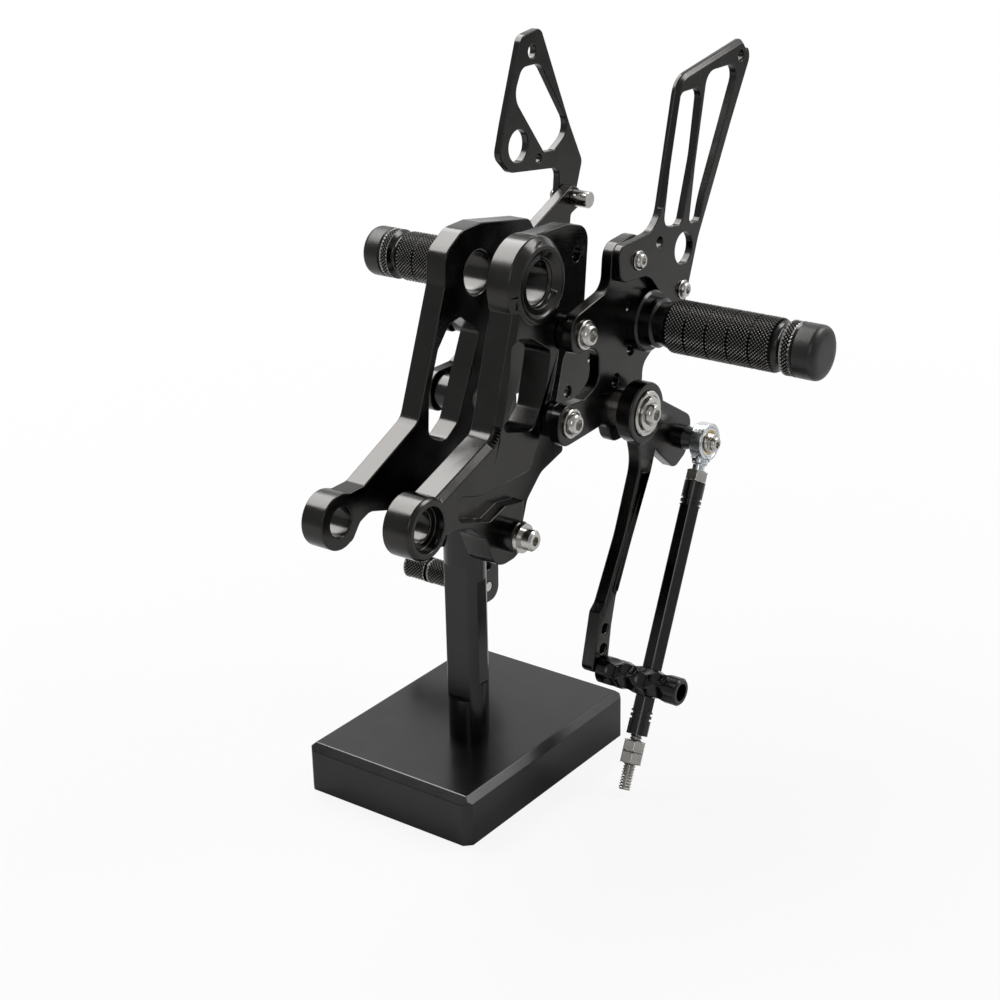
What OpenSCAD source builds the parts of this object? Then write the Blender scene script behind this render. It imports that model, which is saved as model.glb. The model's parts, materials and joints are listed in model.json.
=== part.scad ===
// A pair of machined motorcycle rear sets, bolted back to back on a display stand.
// X runs outward through the pegs, Y to the rear of the machine, Z up.
// The origin is the centre of the underside of the base plate.

/* [Display stand] */
// Width of the base plate across the pegs
base_w = 98; // [80:1:140]
// Length of the base plate along the machine
base_l = 132; // [110:1:180]
// Thickness of the base plate
base_t = 25; // [15:1:40]
// Chamfer on the base plate edges
base_chamfer = 3.5; // [1:0.5:5]
// Diameter of the post
post_d = 20; // [18:0.5:22]
// Height of the cross bolt above the table
post_bolt_z = 136; // [130:1:142]
// Distance between the two flats that face front and rear
post_flat = 15; // [13:0.5:17]
// Diameter of the cross bolt shank
post_bolt_d = 6; // [5:0.5:8]

/* [Frame brackets] */
// Thickness of a bracket at its rim and bosses
bracket_t = 15; // [12:0.5:18]
// Thickness of the pocketed web of the right bracket
web_t = 9; // [7:0.5:11]
// Radius of the upper eye boss
eye_r = 21.5; // [19:0.5:24]
// Diameter of the bore in the upper eye
eye_bore_d = 20; // [16:0.5:22]
// Radius of the lower eye
toe_eye_r = 14.5; // [13:0.5:15]
// Diameter of the bore in the lower eye
toe_bore_d = 14; // [10:0.5:16]
// Diameter of the counterbore in the lower eye
toe_cbore_d = 21; // [17:0.5:23]
// Depth of the counterbore in the lower eye
toe_cbore_t = 5; // [3:0.5:8]

/* [Peg plates] */
// Thickness of a peg plate
plate_t = 6; // [5:0.5:8]
// Diameter of the plate bolts
plate_bolt_d = 8; // [6:0.5:8]
// Diameter of the plate bolt heads
plate_head_d = 14; // [12:0.5:16]
// Diameter of the spacers behind a peg plate
spacer_d = 17; // [15:0.5:19]
// Length of the spacers behind a peg plate
spacer_l = 11; // [8:0.5:14]

/* [Footpegs] */
// Diameter of the knurled barrel
peg_d = 26; // [22:0.5:30]
// Length of the knurled barrel
peg_l = 55; // [45:1:70]
// Diameter of the slim neck outside the barrel
neck_d = 21; // [18:0.5:23]
// Diameter of the collar against the peg plate
collar_d = 30; // [24:0.5:34]
// Length of the end cap
cap_l = 15; // [10:0.5:20]

/* [Levers] */
// Thickness of a lever arm
lever_t = 7; // [6:0.5:9]
// Radius of the boss at a lever pivot
lever_boss_r = 15; // [14:0.5:17]
// Outer diameter of the lever bearing
bearing_d = 22; // [20:0.5:24]
// Diameter of a pivot bolt
pivot_d = 8; // [6:0.5:9]
// Diameter of a toe peg
toe_d = 13.6; // [12:0.2:14]
// Length of a toe peg
toe_l = 45; // [35:1:55]

/* [Linkage rod] */
// Outer diameter of the rod end eye
rod_eye_d = 19; // [17:0.5:21]
// Width of the rod end eye
rod_eye_w = 7; // [6:0.5:8]
// Diameter of the rod end ball
rod_ball_d = 11.5; // [10:0.5:12]
// Width of the rod sleeve across its flats
rod_d = 9.4; // [8:0.2:9.4]
// Length of the rod sleeve
rod_l = 126; // [100:1:126]
// Diameter of the threaded shank and stud
rod_thread_d = 6; // [5:0.5:6]

/* [Heel guards] */
// Thickness of a heel guard
guard_t = 4; // [3:0.5:6]
// Diameter of the guard bolts
guard_bolt_d = 5; // [4:0.5:6]

/* [Hidden] */
$fn = 64;

// Points of the side view, as [along the machine, height].
post_x = 10;
post_y = -12.5;
eye = [17, 247.5];
toe_eye_right = [-69, 158];
toe_eye_left = [-87, 160];
plate_holes_right = [[36, 220.5], [24, 181]];
plate_holes_left = [[28, 222], [14, 187.5]];
peg_right = [85, 215];
peg_left = [92, 223];
left_shift = peg_left - peg_right;
pivot_right = [68.5, 175];
pivot_left = pivot_right + left_shift;
toe_right = [31.5, 54.5];
toe_left = [60, 64];
guard_hole_front = [75, 247];
guard_hole_rear = [115, 223];
guard_left_front = [115.5, 231];
guard_left_rear = [124.5, 257.3];

// Places across the machine, measured outward from the middle of the post.
in_face = post_d / 2;
out_face = in_face + bracket_t;
web_face = in_face + web_t;
plate_in = web_face + spacer_l;
plate_out = plate_in + plate_t;
guard_out = plate_out + guard_t;
lever_in = guard_out + 1;
lever_out = lever_in + lever_t;
toe_out = lever_out + toe_l;
fit = 0.02;
gap = 0.3;
black = [0.12, 0.12, 0.13];
steel = [0.75, 0.75, 0.77];
brass = [0.80, 0.62, 0.28];

// Corner i of a path of [y, z, radius] becomes a short arc.
function unit(v) = v / norm(v);
function arc_corner(a, p, b, r, n = 6) =
    let (u = unit([a[0] - p[0], a[1] - p[1]]), w = unit([b[0] - p[0], b[1] - p[1]]),
         half = acos(max(-1, min(1, u * w))) / 2,
         reach = r / tan(half),
         mid = unit(u + w),
         c = [p[0], p[1]] + mid * r / sin(half),
         s = [p[0], p[1]] + u * reach - c,
         turn = (u[0] * w[1] - u[1] * w[0]) > 0 ? -1 : 1)
    [for (k = [0 : n]) let (t = turn * (180 - 2 * half) * k / n)
        c + [s[0] * cos(t) - s[1] * sin(t), s[0] * sin(t) + s[1] * cos(t)]];
function rounded(path) = [for (i = [0 : len(path) - 1])
    let (m = len(path), p = path[i], a = path[(i + m - 1) % m], b = path[(i + 1) % m])
    each (p[2] > 0 ? arc_corner(a, p, b, p[2]) : [[p[0], p[1]]])];

// Stands a side view up, from x to x + t across the machine.
module slab(x, t) {
    translate([x, 0, 0]) rotate([90, 0, 90]) linear_extrude(t) children();
}
// A rod, hole or boss along X, from x to x + l, at a point of the side view.
module bar(x, l, p, d, f = 64) {
    translate([x, p[0], p[1]]) rotate([0, 90, 0]) cylinder(d = d, h = l, $fn = f);
}
// A turned shape along X: pairs of [distance outward, radius].
module turned(x, p, profile) {
    translate([x, p[0], p[1]]) rotate([0, 90, 0])
        rotate_extrude() polygon([for (q = profile) [q[1], q[0]]]);
}
// Right-hand things are placed outward from the post; left-hand ones are their mirror.
module right_side() { translate([post_x, 0, 0]) children(); }
module left_side() { translate([post_x, 0, 0]) mirror([1, 0, 0]) children(); }

// A capped bolt with a hexagon socket, head outward at x.
module cap_bolt(x, p, shank_d, shank_l, head_d, head_l, key) {
    difference() {
        union() {
            bar(x - shank_l, shank_l, p, shank_d);
            turned(x, p, [[0, 0], [0, head_d / 2], [head_l * 0.55, head_d / 2],
                [head_l, head_d * 0.36], [head_l, 0]]);
        }
        bar(x + head_l * 0.35, head_l, p, key, 6);
    }
}

module base_plate() {
    c = base_chamfer;
    hw = base_w / 2;
    hl = base_l / 2;
    color(black) difference() {
        intersection() {
            linear_extrude(base_t) polygon([[-hw, -hl + c], [-hw + c, -hl], [hw - c, -hl], [hw,
                -hl + c],
                [hw, hl - c], [hw - c, hl], [-hw + c, hl], [-hw, hl - c]]);
            translate([0, hl, 0]) rotate([90, 0, 0]) linear_extrude(base_l)
                polygon([[-hw, 0], [hw, 0], [hw, base_t - c], [hw - c, base_t], [-hw + c, base_t],
                    [-hw, base_t - c]]);
            slab(-hw, base_w) polygon([[-hl, 0], [hl, 0], [hl, base_t - c], [hl - c, base_t],
                [-hl + c, base_t], [-hl, base_t - c]]);
        }
        translate([post_x, post_y, -1]) cylinder(d = 8.5, h = base_t + 2);
        translate([post_x, post_y, -1]) cylinder(d = 15, h = 10);
    }
}

post_top = post_bolt_z + 13;
flat_low = base_t + 21.5;
flat_high = flat_low + 70;
module post() {
    color(black) difference() {
        translate([post_x, post_y, base_t]) cylinder(d = post_d, h = post_top - base_t);
        for (s = [-1, 1]) {
            translate([post_x - post_d, post_y + s * (post_flat / 2 + post_d / 2) - post_d / 2,
                flat_low])
                cube([2 * post_d, post_d, flat_high - flat_low]);
            translate([post_x + s * (post_d / 2 + post_d * 0.47) - post_d / 2, post_y - post_d,
                flat_low + 8])
                cube([post_d, 2 * post_d, flat_high - flat_low - 16]);
        }
        bar(post_x - post_d, 2 * post_d, [post_y, post_bolt_z], post_bolt_d + 2 * fit);
        translate([post_x, post_y, base_t - 1]) cylinder(d = 6.8, h = 22);
    }
}

// The bolt that clamps both brackets to the post, with a collar at each end, and the foot bolt.
collar_l = 10;
module post_bolts() {
    p = [post_y, post_bolt_z];
    color(steel) {
        right_side() difference() {
            union() {
                bar(-out_face - collar_l - 5, 2 * out_face + 2 * collar_l + 5, p, post_bolt_d);
                bar(out_face, collar_l, p, 14);
                turned(out_face + collar_l, p, [[0, 0], [0, 5], [5, 5], [6, 4], [6, 0]]);
                bar(-out_face - collar_l, collar_l, p, 14);
                bar(-out_face - collar_l - 5, 5, p, 11.5, 6);
            }
            bar(out_face + collar_l + 3, 4, p, 5, 6);
        }
        translate([post_x, post_y, 1]) cylinder(d = 14, h = 8);
        translate([post_x, post_y, 8.9]) cylinder(d = 6.6, h = base_t + 8);
    }
}

// Takes the sharp edge off the face at x, along a line whose left side is open air.
module bevel(x, line, c) {
    lap = c / 12;
    for (i = [0 : len(line) - 2]) let (a = line[i], b = line[i + 1])
        rotate([90, 0, 90]) translate([a[0], a[1], x]) rotate([0, 0, atan2(b[1] - a[1], b[0] - a[0])])
            rotate([-45, 0, 0]) translate([-lap, -2 * c, -c / sqrt(2)]) cube([norm(b - a) + 2 * lap,
                4 * c, 3 * c]);
}

// Side view of the right bracket: eye, rear shoulder, web, post lug and lower arm.
arm_end = [-62.5, 169.1, 0];
arm_bend = [-18.4, 185, 8];
front_top = [-1.6, 240, 0];
bracket_right_path = [front_top, [0, 254, 0], [10, 264, 0], [20, 268.5, 0], [48, 267.5, 4],
    [65, 263, 9], [61, 226, 8], [43, 203, 8], [37, 184, 8], [38, 168, 6], [43, 158, 2], [24, 153, 10],
    [12.5, 143, 8], [8, 131, 8], [-6, 121.5, 8], [-21.5, 121, 12], [-28.5, 139, 8], [-39, 148, 10],
    [-52, 151.6, 8], [-62, 151, 0], [-69, 158, 0], arm_end, arm_bend];
// The outer face is cut back to the web behind the window and above the post lug.
rear_recess = [[17, 300, 0], [17, 248, 0], [31, 240, 0], [31, 212, 6], [27.3, 199, 20], [22, 186, 10],
    [6.4, 161.3, 10], [2.2, 152, 6], [0.3, 140, 0], [0.3, 100, 0], [100, 100, 0], [100, 300, 0]];
lug_recess = [[-48, 166, 3], [-48, 154, 4], [-34, 149.5, 4], [-25, 146.5, 3], [-13, 150, 4],
    [-2, 148, 0], [4, 148, 0], [7, 161, 0], [-20, 160.8, 4], [-33, 161.5, 6]];
window_right = [[-3.5, 227, 5], [10, 223.5, 3], [24.5, 214, 3], [17.5, 188, 6], [8, 180, 6],
    [-13.5, 186, 4], [-9, 204, 20]];
module bracket_right() {
    r = eye_r;
    bore_r = eye_bore_d / 2;
    bevel_w = 3;
    color(black) right_side() difference() {
        union() {
            difference() {
                slab(in_face, bracket_t) polygon(rounded(bracket_right_path));
                slab(web_face, bracket_t) polygon(rounded(rear_recess));
                slab(web_face, bracket_t) polygon(rounded(lug_recess));
                for (p = plate_holes_right) bar(web_face, bracket_t, p, spacer_d + 1);
                bevel(out_face, rounded([arm_end, arm_bend, front_top]), bevel_w);
            }
            turned(in_face, eye, [[0, 0], [0, r], [bracket_t - 3, r], [bracket_t + 1, r - 4],
                [bracket_t + 1, r - 6], [bracket_t - 2, bore_r + 2], [bracket_t - 2, 0]]);
            turned(in_face, toe_eye_right, [[0, 0], [0, toe_eye_r], [bracket_t - 1.5, toe_eye_r],
                [bracket_t, toe_eye_r - 1.5], [bracket_t, 0]]);
            bar(in_face, bracket_t, [post_y, post_bolt_z], 24);
        }
        bar(in_face - 1, bracket_t + 2, eye, eye_bore_d);
        turned(out_face - 3, eye, [[0, 0], [0, bore_r], [1, bore_r + 1], [5, bore_r + 1], [5, 0]]);
        bar(in_face - 1, bracket_t + 2, toe_eye_right, toe_bore_d);
        bar(out_face - toe_cbore_t, toe_cbore_t + 1, toe_eye_right, toe_cbore_d);
        bar(in_face - 1, bracket_t + 2, [post_y, post_bolt_z], post_bolt_d + 2 * fit);
        for (p = plate_holes_right) bar(in_face - 1, bracket_t + 2, p, plate_bolt_d + 2 * fit);
        bar(in_face - 1, bracket_t + 2, [54.5, 251.5], 6.8);
        slab(in_face - 1, bracket_t + 2) polygon(rounded(window_right));
    }
}

bracket_left_path = [[-8.4, 247, 4], [-7.4, 262, 9], [6, 270, 12], [20, 270.5, 2], [58, 264, 5],
    [62, 258, 3], [60, 222, 6], [50, 190, 8], [36, 165, 10], [6, 158, 8], [2, 122, 10], [-26, 122, 11],
    [-28, 150, 8], [-54, 154, 12], [-67, 158, 8], [-74, 155.5, 4], [-80, 148, 4], [-94, 150, 3],
    [-98, 166, 4], [-80, 171.5, 3], [-70, 171.7, 6], [-30.8, 189.3, 8]];
window_left = [[3, 230, 4], [-6, 228.5, 5], [-14.5, 219, 6], [-22, 200, 10], [-23.5, 180, 6],
    [-12, 173.5, 7], [-2, 180, 6], [16.5, 219.5, 3]];
module bracket_left() {
    bore_r = eye_bore_d / 2;
    color(black) left_side() difference() {
        union() {
            slab(in_face, bracket_t - 4) polygon(rounded(bracket_left_path));
            bar(in_face, bracket_t, eye, 2 * eye_r - 6);
            bar(in_face, bracket_t - 3, toe_eye_left, 2 * toe_eye_r - 3);
            bar(in_face, bracket_t, [post_y, post_bolt_z], 24);
        }
        bar(in_face - 1, bracket_t + 2, eye, eye_bore_d);
        turned(in_face - 1, eye, [[0, 0], [0, bore_r + 2], [2, bore_r], [2, 0]]);
        bar(in_face - 1, bracket_t + 2, toe_eye_left, toe_bore_d);
        bar(in_face - 1, bracket_t + 2, [post_y, post_bolt_z], post_bolt_d + 2 * fit);
        slab(in_face - 1, bracket_t + 2) polygon(rounded(window_left));
        for (p = plate_holes_left) bar(in_face - 1, bracket_t + 2, p, plate_bolt_d + 2 * fit);
    }
}

// Side view of the right peg plate: front fork for the two bolts, guard lug, peg hub and pivot boss.
peg_plate_right_path = [[26, 213, 5], [25, 230, 8], [57, 237, 8], [59, 257, 8], [80, 259, 9],
    [96, 236, 10], [122, 235, 8], [125, 216, 8], [104, 203, 12], [86, 192, 8], [84, 160, 12],
    [58, 160, 8], [54, 172, 6], [14, 170, 8], [14, 191, 8], [35, 189, 3], [48, 194, 8], [48, 212, 8]];
peg_plate_left_path = [[19, 214, 5], [18, 232, 8], [58, 236, 10], [123.5, 264.2, 5], [130.5, 260.5, 4],
    [129.5, 252, 4], [122, 249.5, 2], [120.8, 242, 3], [125, 236, 3], [125, 224, 9], [112, 205, 12], [94, 198, 6],
    [92, 168, 12], [65, 168, 8], [58, 178, 10], [24, 179, 8], [4, 177, 8], [4, 198, 8], [26, 198, 4],
    [48, 206, 4], [44, 214, 3]];
module peg_plate(path, holes, shift, guard_holes) {
    difference() {
        slab(plate_in, plate_t) polygon(rounded(path));
        for (p = concat(holes, [peg_right + shift, pivot_right + shift]))
            bar(plate_in - 1, plate_t + 2, p, plate_bolt_d + 2 * fit);
        for (p = [[74, 224], [75, 203], [62, 191]])
            bar(plate_in - 1, plate_t + 2, p + shift, 6);
        for (p = guard_holes) bar(plate_in - 1, plate_t + 2, p, guard_bolt_d + 2 * fit);
    }
}
module peg_plate_right() {
    color(black) right_side() peg_plate(peg_plate_right_path, plate_holes_right, [0, 0],
        [guard_hole_front, guard_hole_rear]);
}
module peg_plate_left() {
    color(black) left_side() peg_plate(peg_plate_left_path, plate_holes_left, left_shift,
        [guard_left_front, guard_left_rear]);
}

// Two turned spacers hold a peg plate clear of its bracket.
module plate_spacers(holes, seat) {
    color(black) for (p = holes) difference() {
        turned(seat, p, [[0, 0], [0, spacer_d / 2 - 1], [1, spacer_d / 2],
            [plate_in - seat - 1, spacer_d / 2], [plate_in - seat, spacer_d / 2 - 1], [plate_in - seat, 0]]);
        bar(seat - 1, spacer_l + bracket_t, p, plate_bolt_d + 2 * fit);
    }
}
module plate_spacers_right() { right_side() plate_spacers(plate_holes_right, web_face); }
module plate_spacers_left() { left_side() plate_spacers(plate_holes_left, in_face + bracket_t - 4); }
module plate_bolts(holes) {
    color(steel) for (p = holes)
        cap_bolt(plate_out, p, plate_bolt_d, plate_out - in_face, plate_head_d, 4.5, 5.8);
}
module plate_bolts_right() { right_side() plate_bolts(plate_holes_right); }
module plate_bolts_left() { left_side() plate_bolts(plate_holes_left); }

// Heel guards, with their lightening slots and windows.
guard_right_path = [[58, 257, 5], [60, 239, 6], [84, 238, 14], [106, 214, 9], [116, 212, 7], [129,
    246, 40],
    [158, 297, 60], [176, 327, 6], [169, 336, 5], [110, 326, 12], [92, 258, 14]];
guard_right_slots = [[[111, 319, 4], [130, 319, 5], [124, 287, 60], [113, 255, 5], [97, 258, 5],
    [103, 289, 60]],
    [[135, 325, 8], [166, 325, 6], [151, 297, 60], [133, 264, 60], [130, 254, 3], [120, 254, 3],
        [125, 282, 60]]];
module heel_guard_right() {
    color(black) right_side() difference() {
        slab(plate_out, guard_t) polygon(rounded(guard_right_path));
        for (s = guard_right_slots) slab(plate_out - 1, guard_t + 2) polygon(rounded(s));
        bar(plate_out - 1, guard_t + 2, [115.5, 243.5], 16);
        bar(plate_out - 1, guard_t + 2, [93.5, 251.5], 5.5);
        bar(plate_out - 1, guard_t + 2, [166.5, 328], 5.5);
        bevel(guard_out, rounded([[94.7, 268, 0], [110, 326, 12], [169, 336, 5], [173, 330.9, 0]]), 2);
        for (p = [guard_hole_front, guard_hole_rear]) bar(plate_out - 1, guard_t + 2, p,
            guard_bolt_d + 2 * fit);
    }
}
guard_left_path = [[90, 342, 6], [106, 344, 5], [130, 293, 30], [141, 272.5, 5], [135.5, 258, 6],
    [124.5, 242, 8], [124, 223, 7], [108, 222.5, 7], [108, 240, 8], [119, 254, 6],
    [121, 272.7, 5], [79.5, 278, 6], [70, 287, 6], [75, 302, 30]];
guard_left_window = [[105, 327, 8], [131, 290.5, 8], [116, 282.3, 3], [107.5, 283, 2], [83, 314, 10],
    [90, 327, 6]];
module heel_guard_left() {
    color(black) left_side() difference() {
        slab(plate_out, guard_t) polygon(rounded(guard_left_path));
        slab(plate_out - 1, guard_t + 2) polygon(rounded(guard_left_window));
        bar(plate_out - 1, guard_t + 2, [86, 290], 16);
        bar(plate_out - 1, guard_t + 2, [102.8, 280.8], 4.5);
        bar(plate_out - 1, guard_t + 2, [98.5, 333.5], 6.5);
        for (p = [guard_left_front, guard_left_rear]) bar(plate_out - 1, guard_t + 2, p,
            guard_bolt_d + 2 * fit);
    }
}
module guard_bolts(holes) {
    color(steel) for (p = holes) cap_bolt(guard_out, p, guard_bolt_d, guard_out - plate_in, 9.5, 3,
        3.2);
}
module guard_bolts_right() { right_side() guard_bolts([guard_hole_front, guard_hole_rear]); }
// The rear one on the left runs through to a long sleeve nut.
module guard_bolts_left() {
    left_side() guard_bolts([guard_left_front, guard_left_rear]);
    color(steel) left_side() bar(plate_in - 9.5, 9.5, guard_left_rear, 8.5);
}

// Footpeg: stepped collar, barrel with cut rings, slim neck, outer ring and domed end cap.
collar_len = 16.5;
neck_l = 5;
ring_l = 6.5;
cut = 0.5;
peg_x0 = plate_out + collar_len;
peg_x1 = peg_x0 + peg_l + neck_l + ring_l;
module footpeg(p) {
    r = peg_d / 2;
    pitch = peg_l / 5;
    color(black) difference() {
        turned(peg_x0, p, concat([[0, 0], [0, r - 1], [1, r]],
            [for (i = [1 : 4]) each [[i * pitch - cut, r], [i * pitch, r - cut], [i * pitch + cut, r]]],
            [[peg_l - 1, r], [peg_l, r - 1], [peg_l + 1, neck_d / 2], [peg_l + neck_l, neck_d / 2],
             [peg_l + neck_l, r - 1], [peg_l + neck_l + 1, r], [peg_l + neck_l + ring_l, r],
             [peg_l + neck_l + ring_l, 0]]));
        bar(peg_x0 - 1, 26, p, plate_bolt_d + 2 * fit);
        bar(peg_x1 - 12, 13, p, 10 + 2 * fit);
    }
}
module footpeg_right() { right_side() footpeg(peg_right); }
module footpeg_left() { left_side() footpeg(peg_left); }
module peg_collar(p) {
    r = collar_d / 2;
    color(black) difference() {
        turned(plate_out, p, [[0, 0], [0, r], [5, r], [6, r - 1], [6, r - 3], [11, r - 3],
            [12, r - 4.5], [collar_len, r - 4.5], [collar_len, 0]]);
        bar(plate_out - 1, collar_len + 2, p, plate_bolt_d + 2 * fit);
    }
}
module peg_collar_right() { right_side() peg_collar(peg_right); }
module peg_collar_left() { left_side() peg_collar(peg_left); }
module peg_cap(p) {
    r = peg_d / 2;
    color(black) turned(peg_x1, p, [[-11, 0], [-11, 5], [0, 5], [0, r - 0.5], [0.5, r],
        [cap_l * 0.55, r],
        [cap_l * 0.75, r - 0.8], [cap_l * 0.88, r - 2.2], [cap_l * 0.96, r - 4.5], [cap_l, r - 8],
            [cap_l, 0]]);
}
module peg_cap_right() { right_side() peg_cap(peg_right); }
module peg_cap_left() { left_side() peg_cap(peg_left); }
// The bolt that holds the peg, put in from the inner side of its plate.
module peg_bolt(p) {
    color(steel) difference() {
        union() {
            bar(plate_in, plate_t + collar_len + 24, p, plate_bolt_d);
            bar(plate_in - 5, 5, p, 13);
        }
        bar(plate_in - 6, 4, p, 6, 6);
    }
}
module peg_bolt_right() { right_side() peg_bolt(peg_right); }
module peg_bolt_left() { left_side() peg_bolt(peg_left); }

// Gear lever with its boss, arm, row of toe peg holes and the short arm for the linkage rod.
ball_point = [103, 152];
ball_x = lever_out + rod_eye_w / 2 + 9.5;
side_hole_left = [110, 179];
function from(p, list) = [for (v = list) [p[0] + v[0], p[1] + v[1], v[2]]];
module lever(arm, side, pivot, holes, side_hole) {
    color(black) difference() {
        union() {
            bar(lever_in, lever_t + 1.5, pivot, 2 * lever_boss_r);
            slab(lever_in, lever_t) polygon(rounded(arm));
            slab(lever_in, lever_t) polygon(rounded(side));
        }
        bar(lever_in - 1, lever_t + 4, pivot, bearing_d);
        for (p = holes) bar(lever_in - 1, lever_t + 4, p, 5 + 2 * fit);
        bar(lever_in - 1, lever_t + 4, side_hole, rod_thread_d + 2 * fit);
    }
}
shift_arm = concat(from(pivot_right, [[-10.5, 3, 0], [-2.5, -25, 20]]),
    from(toe_right, [[20.5, 62.5, 60], [3.5, 33, 6], [-1, 29.5, 3], [-9, -0.5, 4], [5.5, -0.5, 4],
        [9, 19.5, 20],
        [13, 33.5, 20]]),
    from(pivot_right, [[7, -32, 16], [14.5, -13, 0]]));
shift_side = concat(from(pivot_right, [[3.5, 13, 0], [17.5, 1, 8]]),
    from(ball_point, [[10, 8, 7], [5, -10, 7], [-6, -15, 5], [-19, -4, 6]]),
    from(pivot_right, [[-2.5, -10, 0]]));
shift_groove = concat(from(pivot_right, [[-1.7, -30, 2]]),
    from(toe_right, [[23.1, 61.5, 40], [8.9, 36.5, 1], [13.5, 36.5, 1], [26.5, 61.5, 40]]),
    from(pivot_right, [[3.5, -33.5, 2]]));
brake_arm = concat(from(pivot_left, [[-12.5, -3, 0], [-13.5, -33, 30]]),
    from(toe_left, [[-6, 36, 30], [-9, -9, 7], [9, -9, 7], [10, 36, 30]]),
    from(pivot_left, [[12.5, -33, 30], [12.5, -1, 0]]));
brake_side = concat(from(pivot_left, [[4.5, 13, 0], [14.5, 9, 6]]), from(side_hole_left, [[9, 8, 6],
    [6, -8, 6]]),
    from(pivot_left, [[14.5, -13, 6], [0.5, -11, 0]]));
module shift_lever() {
    right_side() difference() {
        lever(shift_arm, shift_side, pivot_right, [toe_right, toe_right + [1.2, 10], toe_right + [3,
            20]], ball_point);
        slab(lever_out - 1.5, lever_t) polygon(rounded(shift_groove));
    }
}
module brake_lever() {
    left_side() lever(brake_arm, brake_side, pivot_left, [toe_left, toe_left + [0, 12]],
        side_hole_left);
}
bolt_sleeve_d = 15;
module lever_bearing(p) {
    color(steel) difference() {
        turned(lever_in, p, [[0, 0], [0, bearing_d / 2 - 0.5], [0.5, bearing_d / 2], [lever_t + 2,
            bearing_d / 2],
            [lever_t + 2.5, bearing_d / 2 - 0.5], [lever_t + 2.5, 0]]);
        bar(lever_in - 1, lever_t + 5, p, bolt_sleeve_d + 2 * fit);
    }
}
module shift_bearing() { right_side() lever_bearing(pivot_right); }
module brake_bearing() { left_side() lever_bearing(pivot_left); }
module pivot_bolt(p) {
    x = lever_out + 2.5 + gap;
    color(steel) difference() {
        union() {
            bar(plate_in, plate_t, p, pivot_d);
            bar(plate_out, lever_in - plate_out - gap, p, bolt_sleeve_d + 5);
            bar(plate_out, x - plate_out, p, bolt_sleeve_d);
            turned(x, p, [[0, 0], [0, 8.5], [1.2, 8.5], [3.4, 6.2], [4, 4], [4, 0]]);
        }
        bar(x + 1.5, 4, p, 5.8, 6);
    }
}
module shift_pivot_bolt() { right_side() pivot_bolt(pivot_right); }
module brake_pivot_bolt() { left_side() pivot_bolt(pivot_left); }

// Toe pegs: a dimpled one on the gear lever and a grooved one on the brake lever.
module shift_toe_peg() {
    r = toe_d / 2;
    color(black) right_side() difference() {
        turned(lever_out, toe_right, [[0, 0], [0, r - 0.6], [0.6, r], [toe_l - 0.8, r], [toe_l,
            r - 0.8], [toe_l, 0]]);
        for (i = [0 : 3], a = [0 : 60 : 300])
            translate([lever_out + 9 + i * 8.5, toe_right[0] + (r + 2.4) * cos(a + 30 * (i % 2)),
                toe_right[1] + (r + 2.4) * sin(a + 30 * (i % 2))]) sphere(d = 7, $fn = 24);
        bar(lever_out - 1, toe_l + 2, toe_right, 5 + 2 * fit);
        bar(lever_out + 12, toe_l, toe_right, 8.5 + 2 * fit);
    }
}
module brake_toe_peg() {
    r = toe_d / 2;
    seg = toe_l / 3;
    color(black) left_side() difference() {
        turned(lever_out, toe_left, concat([[0, 0], [0, r - 0.6], [0.6, r]],
            [for (i = [1 : 2]) each [[i * seg - 1, r], [i * seg - 1, r - 1], [i * seg + 1, r - 1],
                [i * seg + 1, r]]],
            [[toe_l - 0.8, r], [toe_l, r - 0.8], [toe_l, 0]]));
        bar(lever_out - 1, toe_l + 2, toe_left, 5 + 2 * fit);
        bar(lever_out + 12, toe_l, toe_left, 8.5 + 2 * fit);
    }
}
module toe_bolt(p) {
    color(steel) difference() {
        union() {
            bar(lever_in, lever_t + 12, p, 5);
            bar(lever_out + 12, 5, p, 8.5);
        }
        bar(lever_out + 14, 4, p, 4, 6);
    }
}
module shift_toe_bolt() { right_side() toe_bolt(toe_right); }
module brake_toe_bolt() { left_side() toe_bolt(toe_left); }

// The linkage rod hangs from its ball, slightly outward and forward past the toe peg.
rod_play = 0.43;
rod_lean = atan2(ball_point[0] - toe_right[0], ball_point[1] - toe_right[1])
    - asin((toe_d / 2 + rod_d / 2 + rod_play) / norm(ball_point - toe_right));
rod_splay = 4.2;
module rod_frame() {
    translate([post_x + ball_x, ball_point[0], ball_point[1]]) rotate([-rod_lean, -rod_splay, 0])
        children();
}
nut_l = 5.5;
nut_flats = 10;
shank_l = 15;
module down(z, l, d, f = 64) {
    translate([0, 0, -z - l]) cylinder(d = d, h = l, $fn = f);
}
hexagon = 2 / sqrt(3);
module rod_end() {
    color(steel) rod_frame() difference() {
        union() {
            rotate([0, 90, 0]) translate([0, 0, -rod_eye_w / 2]) cylinder(d = rod_eye_d, h = rod_eye_w);
            down(rod_eye_d / 2 - 1, shank_l - rod_eye_d / 2 + 13, rod_thread_d);
            down(rod_eye_d / 2 - 1.2, 3.2, 8);
        }
        rotate([0, 90, 0]) translate([0, 0, -rod_eye_w]) cylinder(d = rod_eye_d - 4.5,
            h = 2 * rod_eye_w);
    }
}
module rod_race() {
    color(brass) rod_frame() difference() {
        rotate([0, 90, 0]) translate([0, 0, -rod_eye_w * 0.42]) cylinder(d = rod_eye_d - 4.5,
            h = rod_eye_w * 0.84);
        sphere(d = rod_ball_d + 4 * fit);
    }
}
ball_half = 4.5;
module rod_ball() {
    color(steel) translate([post_x + ball_x, ball_point[0], ball_point[1]]) rotate([0, 90, 0])
        rotate_extrude() intersection() {
            circle(d = rod_ball_d);
            translate([rod_thread_d / 2 + fit, -ball_half]) square([rod_ball_d, 2 * ball_half]);
        }
}
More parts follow.
